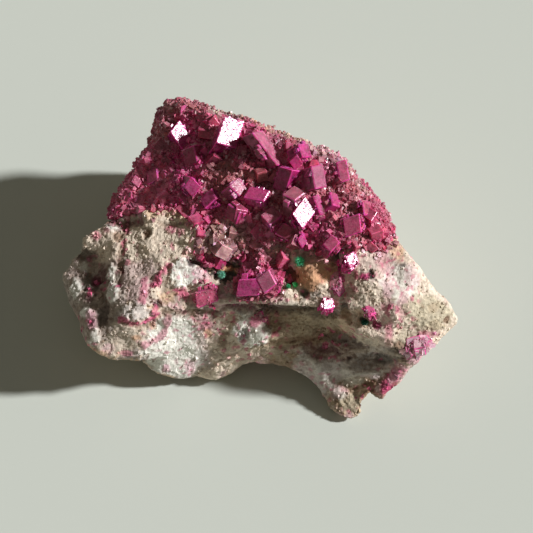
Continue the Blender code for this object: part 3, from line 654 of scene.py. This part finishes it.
def rock_material():
    n = Nodes("host_rock")
    grain, blotch = n.noise(0.22, 4, 0.7), n.noise(0.9)
    colour = n.attribute("paint", "Color")
    colour = n.shaded(colour, grain, 0.3, 0.7, (0.84, 0.82, 0.8), (1.17, 1.17, 1.17))
    colour = n.shaded(colour, blotch, 0.35, 0.65, (0.88, 0.86, 0.85), (1.12, 1.12, 1.1))
    normal = n.bump(n.cells(0.3), 0.15, 0.08)
    normal = n.bump(n.noise(0.13, 4, 0.75), 0.45, 0.05, normal)
    rough = n.span(n.attribute("gloss"), 0, 1, 0.95, 0.25)
    return n.finish(Base_Color=colour, Roughness=rough, Normal=normal, Specular_IOR_Level=0.35)


def crystal_material(name, dust, rough, speckle, glow):
    """Pink calcite: how much pale dust lies on what faces up, its gloss, and how far light goes into it."""
    n = Nodes(name)
    colour = n.attribute("paint", "Color")
    colour = n.shaded(colour, n.noise(0.8), 0.32, 0.68, (0.5, 0.35, 0.42), (1.3, 1.5, 1.4))
    up = n.add("ShaderNodeSeparateXYZ", {0: n.add("ShaderNodeNewGeometry").outputs["Normal"]}).outputs["Z"]
    grains = n.math("MULTIPLY", n.span(up, 0.2, 0.9), n.span(n.noise(0.16, 3, 0.75), 0.46, 0.54))
    colour = n.mix(n.math("MULTIPLY", grains, dust), colour, tuple(linear((206, 160, 166))))
    specks = n.span(n.noise(0.34, 4, 0.75), 0.52, 0.6, rough, rough + speckle)
    roughness = n.math("ADD", specks, n.math("MULTIPLY", grains, 0.6))
    roughness = n.math("ADD", roughness, n.span(n.attribute("gloss"), 0.0, 1.0, 0.4, 0.0))
    normal = n.bump(n.noise(0.25), 0.25, 0.05)
    normal = n.bump(n.noise(0.12, 3, 0.7), 0.25, 0.03, normal)
    return n.finish(
        Base_Color=colour, Roughness=roughness, Normal=normal, IOR=1.6, Specular_IOR_Level=0.5,
        Subsurface_Weight=glow, Subsurface_Scale=glow * MM, Subsurface_Radius=(1.0, 0.35, 0.6),
    )


def malachite_material():
    n = Nodes("malachite")
    colour = n.attribute("paint", "Color")
    colour = n.shaded(colour, n.noise(0.3), 0.35, 0.65, (0.8, 0.8, 0.8), (1.3, 1.3, 1.3))
    return n.finish(Base_Color=colour, Roughness=0.55)


# Crystals


def rhomb(middle, facing, turn, edges, depth):
    """The corners and faces of a calcite rhomb, with one face's middle and direction given."""
    skew, rise = math.cos(RHOMB_ANGLE), math.sin(RHOMB_ANGLE)
    along, across = Vector((1, 0, 0)), Vector((skew, rise, 0))
    inward_y = -skew * (1 + skew) / rise
    inward = Vector((skew, inward_y, -math.sqrt(1 - skew**2 - inward_y**2)))
    to_facing = Vector((0, 0, 1)).rotation_difference(Vector(facing).normalized()).to_matrix()
    turned = to_facing @ Matrix.Rotation(math.radians(turn), 3, "Z")
    a, b, c = turned @ along * edges[0], turned @ across * edges[1], turned @ inward * depth
    start = middle - (a + b) / 2
    corners = [start, start + a, start + a + b, start + b]
    return corners + [p + c for p in corners], RHOMB_FACES


def bevelled(corners, faces, bevel):
    """The same solid with narrow flats along its edges and at its corners."""
    points, flat, at, side = [], [], {}, {}
    for number, face in enumerate(faces):
        loop = []
        for k, corner in enumerate(face):
            before, after = corners[face[k - 1]], corners[face[(k + 1) % len(face)]]
            here = corners[corner]
            inset = ((before - here).normalized() + (after - here).normalized()) * bevel
            at[number, corner] = len(points)
            side[face[k - 1], corner] = number
            loop.append(len(points))
            points.append(here + inset)
        flat.append(loop)
    for (a, b), number in side.items():
        if a < b:
            other = side[b, a]
            flat.append([at[number, b], at[number, a], at[other, a], at[other, b]])
    for corner in range(len(corners)):
        around = [number for number, face in enumerate(faces) if corner in face]
        first = around[0]
        face = faces[first]
        nxt = side[face[(face.index(corner) + 1) % 4], corner]
        third = [number for number in around if number not in (first, nxt)][0]
        flat.append([at[first, corner], at[nxt, corner], at[third, corner]])
    return points, flat


class Heap:
    """Many solids gathered into one mesh, each with a colour of its own."""

    def __init__(self):
        self.points, self.faces, self.colours, self.gloss = [], [], [], []

    def add_crystal(self, corners, faces, bevel, colour, edge_highlight):
        """A rhomb with a painted highlight on the narrow flats along its edges, as where light comes through.
        """
        points, flats = bevelled(corners, faces, bevel)
        self.add(points, flats[: len(faces)], colour)
        self.add(points, flats[len(faces):], edge_highlight)

    def add(self, points, faces, colour, gloss=1.0):
        start = len(self.points)
        self.points += [tuple(p) for p in points]
        self.faces += [[i + start for i in f] for f in faces]
        self.colours += [colour] * len(points)
        self.gloss += [gloss] * len(points)

    def make(self, name, material):
        obj = new_object(name, self.points, self.faces)
        add_attributes(obj, np.array(self.colours), self.gloss)
        obj.data.materials.append(material)
        return obj


def place_of_face(tree, across, up, facing):
    """Where the best face of a source crystal lies, found on its solid even if its middle is covered."""
    axis = Vector(facing).normalized()
    for step in (0.0, 0.25, 0.5, 0.75, 1.0):
        for x, y in ring(across, up, step):
            hit, normal = seen_at(tree, x, y)
            if hit and normal.dot(axis) > SAME_FACE:
                start = stand(across, up, ABOVE_ALL)
                reach = (hit - start).dot(axis) / -VIEW_AXIS.dot(axis)
                return start - VIEW_AXIS * reach
    return seen_at(tree, across, up)[0]


def varied(colour, chance, spread):
    """The colour, a little lighter or darker and redder or bluer."""
    light = math.exp(chance.normal(0, spread))
    return colour * light * np.array([1.0, 1.0 + chance.normal(0, 0.08), 1.0 + chance.normal(0, 0.08)])


def sideways(axis, chance):
    """A direction square to the axis, at random."""
    side = axis.orthogonal().normalized()
    side.rotate(Matrix.Rotation(chance.uniform(0, 2 * math.pi), 3, axis))
    return side


def grow_large(heap, shape, colour, chance):
    """A large rhomb with smaller ones grown parallel to it along its edges."""
    middle, facing, turn, edges, depth = shape
    facing = Vector(facing).normalized()
    solid = rhomb(middle, facing, turn, edges, depth)
    # The flats along the large rhomb's edges and its growths get a painted highlight
    heap.add_crystal(*solid, LARGE_BEVEL, varied(colour, chance, 0.08), tint("painted_edge_highlight"))
    size = min(edges)
    for _ in range(GROWTHS):
        part = size * chance.uniform(0.15, 0.4)
        side = sideways(facing, chance)
        place = middle + side * size * chance.uniform(0.5, 0.65) - facing * part * chance.uniform(0.3, 1.1)
        solid = rhomb(place, facing, turn, (part, part * chance.uniform(0.8, 1.4)), part)
        heap.add_crystal(*solid, GROWTH_BEVEL, varied(colour, chance, 0.2), tint("painted_edge_highlight"))


def leaning_rhomb(spot, normal, out, lean, ratios, size, chance):
    """A rhomb of a size that stands out and leans by shares of it, with a second edge of another length."""
    facing = Vector(normal) + Vector(chance.uniform(-1, 1, 3)) * lean
    edges = size, size * chance.uniform(*ratios)
    return rhomb(Vector(spot) + Vector(normal) * size * out, facing, chance.uniform(0, 90), edges, size)


def front_corners(middle, facing, turn, edges, depth):
    """The outline that a rhomb's best face shows in the front view, a little larger than it is."""
    wider = [edge + OUTLINE_MARGIN for edge in edges]
    return [shown_at(corner) for corner in rhomb(middle, facing, turn, wider, depth)[0][:4]]


def hides(outlines, spot):
    """True if the spot shows inside one of the outlines in the front view."""
    u, v = shown_at(spot)
    for outline in outlines:
        crossed = [
            (bx - ax) * (v - ay) - (by - ay) * (u - ax) > 0
            for (ax, ay), (bx, by) in zip(outline, outline[1:] + outline[:1])
        ]
        if len(set(crossed)) == 1:
            return True
    return False


def edges_of(corners):
    return [corners[k] - corners[0] for k in (1, 3, 4)]


def flashes(corners):
    """True if one of a rhomb's faces would mirror the light into the front view."""
    edges = edges_of(corners)
    faces = [edges[k].cross(edges[k - 1]).normalized() for k in range(3)]
    return any(abs(face.dot(TOWARDS_LIGHT)) > MIRRORS_LIGHT for face in faces)


def room_at(trees, spot):
    """The largest crystal that may grow at a spot without showing past the stone's outline."""
    u, v = shown_at(spot)
    across, up = (u - MIDDLE_PIXEL) / PIXELS_PER_MM, (MIDDLE_PIXEL - v) / PIXELS_PER_MM
    for reach, size in ROOM_AT_RIM:
        for x, y in ring(across, up, reach):
            if not any(seen_at(tree, x, y)[0] for tree in trees):
                return size
    return FAR


def smaller_at_rim(normal):
    """A share from 0.25 where the surface turns away from the front view to 1 where it faces it."""
    return 0.25 + 0.75 * float(smoothstep(0.1, 0.65, np.dot(normal, VIEW_AXIS)))


def grain_size(sizes, normal, chance):
    middle, spread, smallest, largest = sizes
    return float(np.clip(chance.lognormal(middle, spread), smallest, largest)) * smaller_at_rim(normal)


def solids_test(solids):
    """A function that tells how deep a point is inside any of the rhombs, as a share of their size."""
    origins = np.array([corners[0] for corners in solids])
    inverses = np.linalg.inv(np.array([edges_of(corners) for corners in solids]).transpose(0, 2, 1))

    def depth(point):
        local = np.einsum("nij,nj->ni", inverses, np.array(point) - origins)
        return np.minimum(local, 1 - local).min(axis=1).max()

    return depth


def spots_on(points, faces, count, chance):
    """Points spread evenly over the triangles, with their normals."""
    corners = np.asarray(points)[np.asarray(faces)]
    normals = np.cross(corners[:, 1] - corners[:, 0], corners[:, 2] - corners[:, 0])
    area = np.linalg.norm(normals, axis=1)
    chosen = chance.choice(len(faces), count, p=area / area.sum())
    r, s = np.sqrt(chance.random(count)), chance.random(count)
    weights = np.stack([1 - r, r * (1 - s), r * s], axis=1)
    spots = np.einsum("nk,nkj->nj", weights, corners[chosen])
    return spots, normals[chosen] / area[chosen][:, None]


def spots_over(obj, count, chance):
    obj.data.calc_loop_triangles()
    faces = np.empty(len(obj.data.loop_triangles) * 3, int)
    obj.data.loop_triangles.foreach_get("vertices", faces)
    return spots_on(arrays(obj)[0], faces.reshape(-1, 3), count, chance)


# The pieces


def make_rock(material):
    rock = remeshed("rock", "matrix", ROCK_VOXEL)
    finer_in_front(rock)
    points, normals = arrays(rock)
    colours, grain, gloss, height = on_rock(points, normals)
    near = cells_at(points, 0.75)
    lumps = noise_at(points, 1.9, 2.0) * 0.15 + facets_at(points, 1.7, 0.03, 0.05)
    crumbs = (0.42 - near) * 0.06 + facets_at(points, 0.6, 0.02, 0.1) + noise_at(points, 0.35, 9.0) * 0.1
    out = height + lumps + crumbs * (0.3 + 0.7 * grain)
    # The base that the stone stands on stays flat
    above = smoothstep(0.0, 1.0, points[:, 2])
    points = points + normals * (out * above)[:, None]
    points[:, 2] = np.maximum(points[:, 2], 0.0)
    set_points(rock, points)
    # Painted shade: darker between the grains and in the dips of the crumbled surface
    pit_shade = (smoothstep(0.5, 0.85, near) * 0.15 + smoothstep(0.0, 0.12, -crumbs) * 0.28) * grain
    add_attributes(rock, colours * (1 - pit_shade)[:, None], gloss)
    rock.data.materials.append(material)
    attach(rock, "root")
    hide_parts("matrix")
    return rock


def make_crumbs(rock, material):
    """Loose-looking grains on the rock, each with a colour near the rock's."""
    chance = np.random.default_rng(SEED + 3)
    spots, normals = spots_over(rock, ROCK_SPOTS, chance)
    colours, grain, _, _ = on_rock(spots, normals)
    heap = Heap()
    for spot, normal, colour, coarse in zip(spots, normals, colours, grain):
        if np.dot(normal, VIEW_AXIS) < 0.0 or spot[2] < 0.8 or chance.random() > coarse * 0.5:
            continue
        size = grain_size(CRUMB_SIZES, normal, chance)
        solid = leaning_rhomb(spot, normal, 0.25, 1.2, (0.6, 1.5), size, chance)
        heap.add(*solid, colour * math.exp(chance.normal(0.0, 0.12)), 0.1)
    piece = heap.make("crumbs", material)
    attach(piece, "root")


def make_bed(material):
    """The crust's base, sunk a little under its large rhombs and grown onto the rock so that no gap shows."""
    bed = remeshed("crystal_bed", "cobaltocalcite_crust", CRUST_VOXEL, CRUST_SMOOTHING)
    points, normals = arrays(bed)
    rock_tree = tree_of(*node_shape("matrix"))
    near_rock = np.array([(rock_tree.find_nearest(Vector(p))[3] or FAR) < 0.6 for p in points])
    colours, grain, gloss, height = on_crust(points, normals)
    near = cells_at(points, 0.7)
    out = (0.4 - near) * 0.35 + noise_at(points, 0.3, 4.0) * 0.08 + height - 0.1
    out = np.where(near_rock, out + 0.45, out)
    set_points(bed, points + normals * out[:, None])
    # Painted shade: the bed is a tenth darker, so the gaps between the crystals on it look shaded
    add_attributes(bed, colours * 0.9, gloss)
    bed.data.materials.append(material)
    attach(bed, "root")
    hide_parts("cobaltocalcite_crust")
    return bed


def make_crystals(bed, material, dusty_material, druse_material):
    """The large rhombs on the crust, the middling ones between them, and the fine druse."""
    chance = np.random.default_rng(SEED)
    trees = [tree_of(*node_shape(name)) for name in ("cobaltocalcite_crust", "matrix")]
    clear, dusty, solids, outlines = Heap(), Heap(), [], []
    for row in LARGE_CRYSTALS:
        across, up, edge_a, edge_b, depth, facing, turn, stuff = (*row, USUAL_STUFF)[:8]
        middle = place_of_face(trees[0], across, up, facing)
        shape = middle, facing, turn, (edge_a, edge_b), depth
        solids.append(rhomb(*shape)[0])
        outlines.append(front_corners(*shape))
        grow_large(dusty if stuff == "dusky" else clear, shape, tint(stuff), chance)
    mirrors = [o for o, row in zip(outlines, LARGE_CRYSTALS) if row[5] is TOWARDS_LIGHT]
    pieces = [clear.make("large_crystals", material), dusty.make("dusty_crystals", dusty_material)]

    spots, normals = spots_over(bed, CRUST_SPOTS, chance)
    colours = on_crust(spots, normals)[0]
    inside = solids_test(solids)
    heap, taken = Heap(), []
    for spot, normal, colour in zip(spots[:MIDDLING_SPOTS], normals, colours):
        size = chance.uniform(*MIDDLING_SIZES) * smaller_at_rim(normal)
        if np.dot(normal, VIEW_AXIS) < 0.15 or inside(spot) > 0.05 or hides(outlines, spot):
            continue
        size = min(size, room_at(trees, spot))
        if any(math.dist(spot, other[:3]) < (size + other[3]) * 0.5 for other in taken):
            continue
        solid = leaning_rhomb(spot, normal, 0.12, 0.55, (0.7, 1.5), size, chance)
        if flashes(solid[0]) or any(hides(mirrors, corner) for corner in solid[0]):
            continue
        if any(hides(outlines, corner) for corner in solid[0][:4]):
            continue
        taken.append((*spot, size))
        solids.append(solid[0])
        # The flats along its edges are painted lighter, a painted highlight
        body_and_edge_highlight = varied(colour, chance, 0.2), varied(colour * 1.4, chance, 0.15)
        heap.add_crystal(*solid, MIDDLING_BEVEL, *body_and_edge_highlight)
    pieces.append(heap.make("middling_crystals", material))

    inside = solids_test(solids)
    heap = Heap()
    for spot, normal, colour in zip(*(values[MIDDLING_SPOTS:] for values in (spots, normals, colours))):
        if np.dot(normal, VIEW_AXIS) < -0.05 or inside(spot) > 0.03 or hides(outlines, spot):
            continue
        size = min(grain_size(DRUSE_SIZES, normal, chance), room_at(trees, spot))
        sunk = 0.45 * size * (1 - smaller_at_rim(normal))
        place = Vector(spot) + Vector(normal) * (size * 0.25 - sunk)
        solid = leaning_rhomb(place, normal, 0.0, 0.9, (0.7, 1.4), size, chance)
        if size < SMALLEST_GRAIN:
            continue
        # A few druse crystals are pale, a painted glint
        if chance.random() < PAINTED_GLINT_SHARE:
            colour = tint("blush")
        heap.add(*solid, varied(colour, chance, 0.18))
    pieces.append(heap.make("druse", druse_material))
    for piece in pieces:
        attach(piece, "root")


def make_sprinkle(rock, material):
    """Small pink crystals on the rock where its marks are pink, and along the crust's border."""
    chance = np.random.default_rng(SEED + 4)
    spots, normals = spots_over(rock, ROCK_SPOTS, chance)
    colours = on_rock(spots, normals)[0]
    crust_tree = tree_of(*node_shape("cobaltocalcite_crust"))
    heap = Heap()
    for spot, normal, colour in zip(spots, normals, colours):
        if np.dot(normal, VIEW_AXIS) < 0.1:
            continue
        pinkness = (colour[0] - colour[1]) / max(colour[0], 0.02)
        to_crust = crust_tree.find_nearest(Vector(spot))[3] or FAR
        if chance.random() > 1.6 * (pinkness - 0.45) and chance.random() > 0.9 - to_crust / 1.6:
            continue
        size = grain_size(SPRINKLE_SIZES, normal, chance)
        solid = leaning_rhomb(spot, normal, 0.2, 0.9, (0.7, 1.4), size, chance)
        own = tint("pink" if pinkness > 0.6 else "rose")
        heap.add(*solid, varied(own * 0.6 + colour * 0.4, chance, 0.3))
    piece = heap.make("sprinkled_crystals", material)
    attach(piece, "root")


def make_lone_crystals(material):
    chance = np.random.default_rng(SEED + 1)
    for name, (stuff, grains, cluster) in LONE_CRYSTALS.items():
        points, faces = node_shape(name)
        tree = tree_of(points, faces)
        heap = Heap()
        colour = tint(stuff)
        for across, up, edge_a, edge_b, depth, facing, turn in cluster:
            middle = place_of_face(tree, across, up, facing)
            if middle is None:
                continue
            grow_large(heap, (middle, facing, turn, (edge_a, edge_b), depth), colour, chance)
            around, size = facing.normalized(), min(edge_a, edge_b)
            for _ in range(LONE_GROWTHS):
                part = size * chance.uniform(0.12, 0.35)
                side = sideways(around, chance)
                place = middle + side * size * chance.uniform(0.45, 0.85) - around * part * 1.6
                leaning = around + Vector(chance.uniform(-1, 1, 3)) * 0.8
                solid = rhomb(place, leaning, chance.uniform(0, 90), (part, part), part * 2)
                heap.add(*solid, varied(colour, chance, 0.35))
        for spot, normal in zip(*spots_on(points, faces, grains, chance)):
            size = chance.uniform(*LONE_SIZES)
            leaning = Vector(normal) + Vector(chance.uniform(-1, 1, 3)) * 0.8
            solid = rhomb(Vector(spot), leaning, chance.uniform(0, 90), (size, size), size)
            own = tint(chance.choice(["pink", "blush", "rose", "rose", "pink"]))
            heap.add(*solid, varied(own * 0.6 + colour * 0.4, chance, 0.25), 0.2)
        piece = heap.make("pink_" + name, material)
        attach(piece, "root")
        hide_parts(name)


def make_tufts(material):
    """Each tuft is a ball of stout needles with finer and longer ones between them."""
    chance = np.random.default_rng(SEED + 2)
    for name, (share, green) in MALACHITE_TUFTS.items():
        points, _ = node_shape(name)
        middle = Vector(points.mean(axis=0))
        reach = max((Vector(p) - middle).length for p in points) * share
        heap = Heap()
        for number in range(NEEDLES):
            way = Vector(chance.normal(0, 1, 3)).normalized()
            side = way.orthogonal().normalized()
            other = way.cross(side)
            stout = number % 3 == 0
            width = reach * 0.2 if stout else 0.05
            root = middle + way * reach * 0.2
            base = [root + side * width, root + other * width, root - side * width, root - other * width]
            tip = middle + way * reach * chance.uniform(0.6, 0.8 if stout else 1.0)
            faces = [(0, 1, 4), (1, 2, 4), (2, 3, 4), (3, 0, 4), (3, 2, 1, 0)]
            heap.add([*base, tip], faces, varied(linear(green), chance, 0.2))
        piece = heap.make("tuft_" + name, material)
        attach(piece, "root")
        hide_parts(name)


def make_stage():
    corners = [(x * FLOOR_REACH, y * FLOOR_REACH, 0) for x, y in ((-1, -1), (1, -1), (1, 1), (-1, 1))]
    floor = new_object("floor", corners, [(0, 1, 2, 3)])
    pale = Nodes("pale_floor").finish(Base_Color=(*linear((203, 209, 198)), 1), Roughness=0.8)
    floor.data.materials.append(pale)

    key = bpy.data.lights.new("key", "SUN")
    key.energy = 4.8
    key.angle = math.radians(5)
    key.color = (0.98, 0.97, 1.0)
    linked("key", key).rotation_euler = (0, math.radians(57), math.radians(4))

    world = bpy.data.worlds.new("studio")
    world.use_nodes = True
    sky = world.node_tree.nodes["Background"].inputs
    sky["Color"].default_value = (1.0, 0.93, 0.78, 1)
    sky["Strength"].default_value = 0.13
    bpy.context.scene.world = world
    bpy.context.scene.view_settings.view_transform = "Standard"


def make_camera():
    data = bpy.data.cameras.new("camera")
    data.sensor_width = SENSOR
    data.lens = SENSOR * CAMERA_DISTANCE / (PICTURE / PIXELS_PER_MM)
    data.clip_start = 0.1
    data.clip_end = 10
    camera = linked("camera", data)
    off = (PICTURE / 2 - MIDDLE_PIXEL) / PIXELS_PER_MM
    target = stand(off, -off, MIDDLE_HEIGHT)
    camera.location = (target + VIEW_AXIS * CAMERA_DISTANCE) * MM
    camera.rotation_euler = (-VIEW_AXIS).to_track_quat("-Z", "Y").to_euler()
    bpy.context.scene.camera = camera


stone_material = rock_material()
host = make_rock(stone_material)
make_crumbs(host, stone_material)
crystal_bed = make_bed(crystal_material("druse_bed", 0.5, 0.35, 0.3, 0.3))
make_crystals(
    crystal_bed,
    crystal_material("pink_calcite", 0.14, 0.21, 0.16, 0.75),
    crystal_material("dusty_calcite", 0.35, 0.3, 0.3, 0.75),
    crystal_material("pink_druse", 0.45, 0.22, 0.2, 0.2),
)
make_sprinkle(host, crystal_material("sprinkled_calcite", 0.3, 0.3, 0.2, 0.2))
make_lone_crystals(crystal_material("lone_calcite", 0.3, 0.22, 0.2, 0.2))
make_tufts(malachite_material())
make_stage()
make_camera()
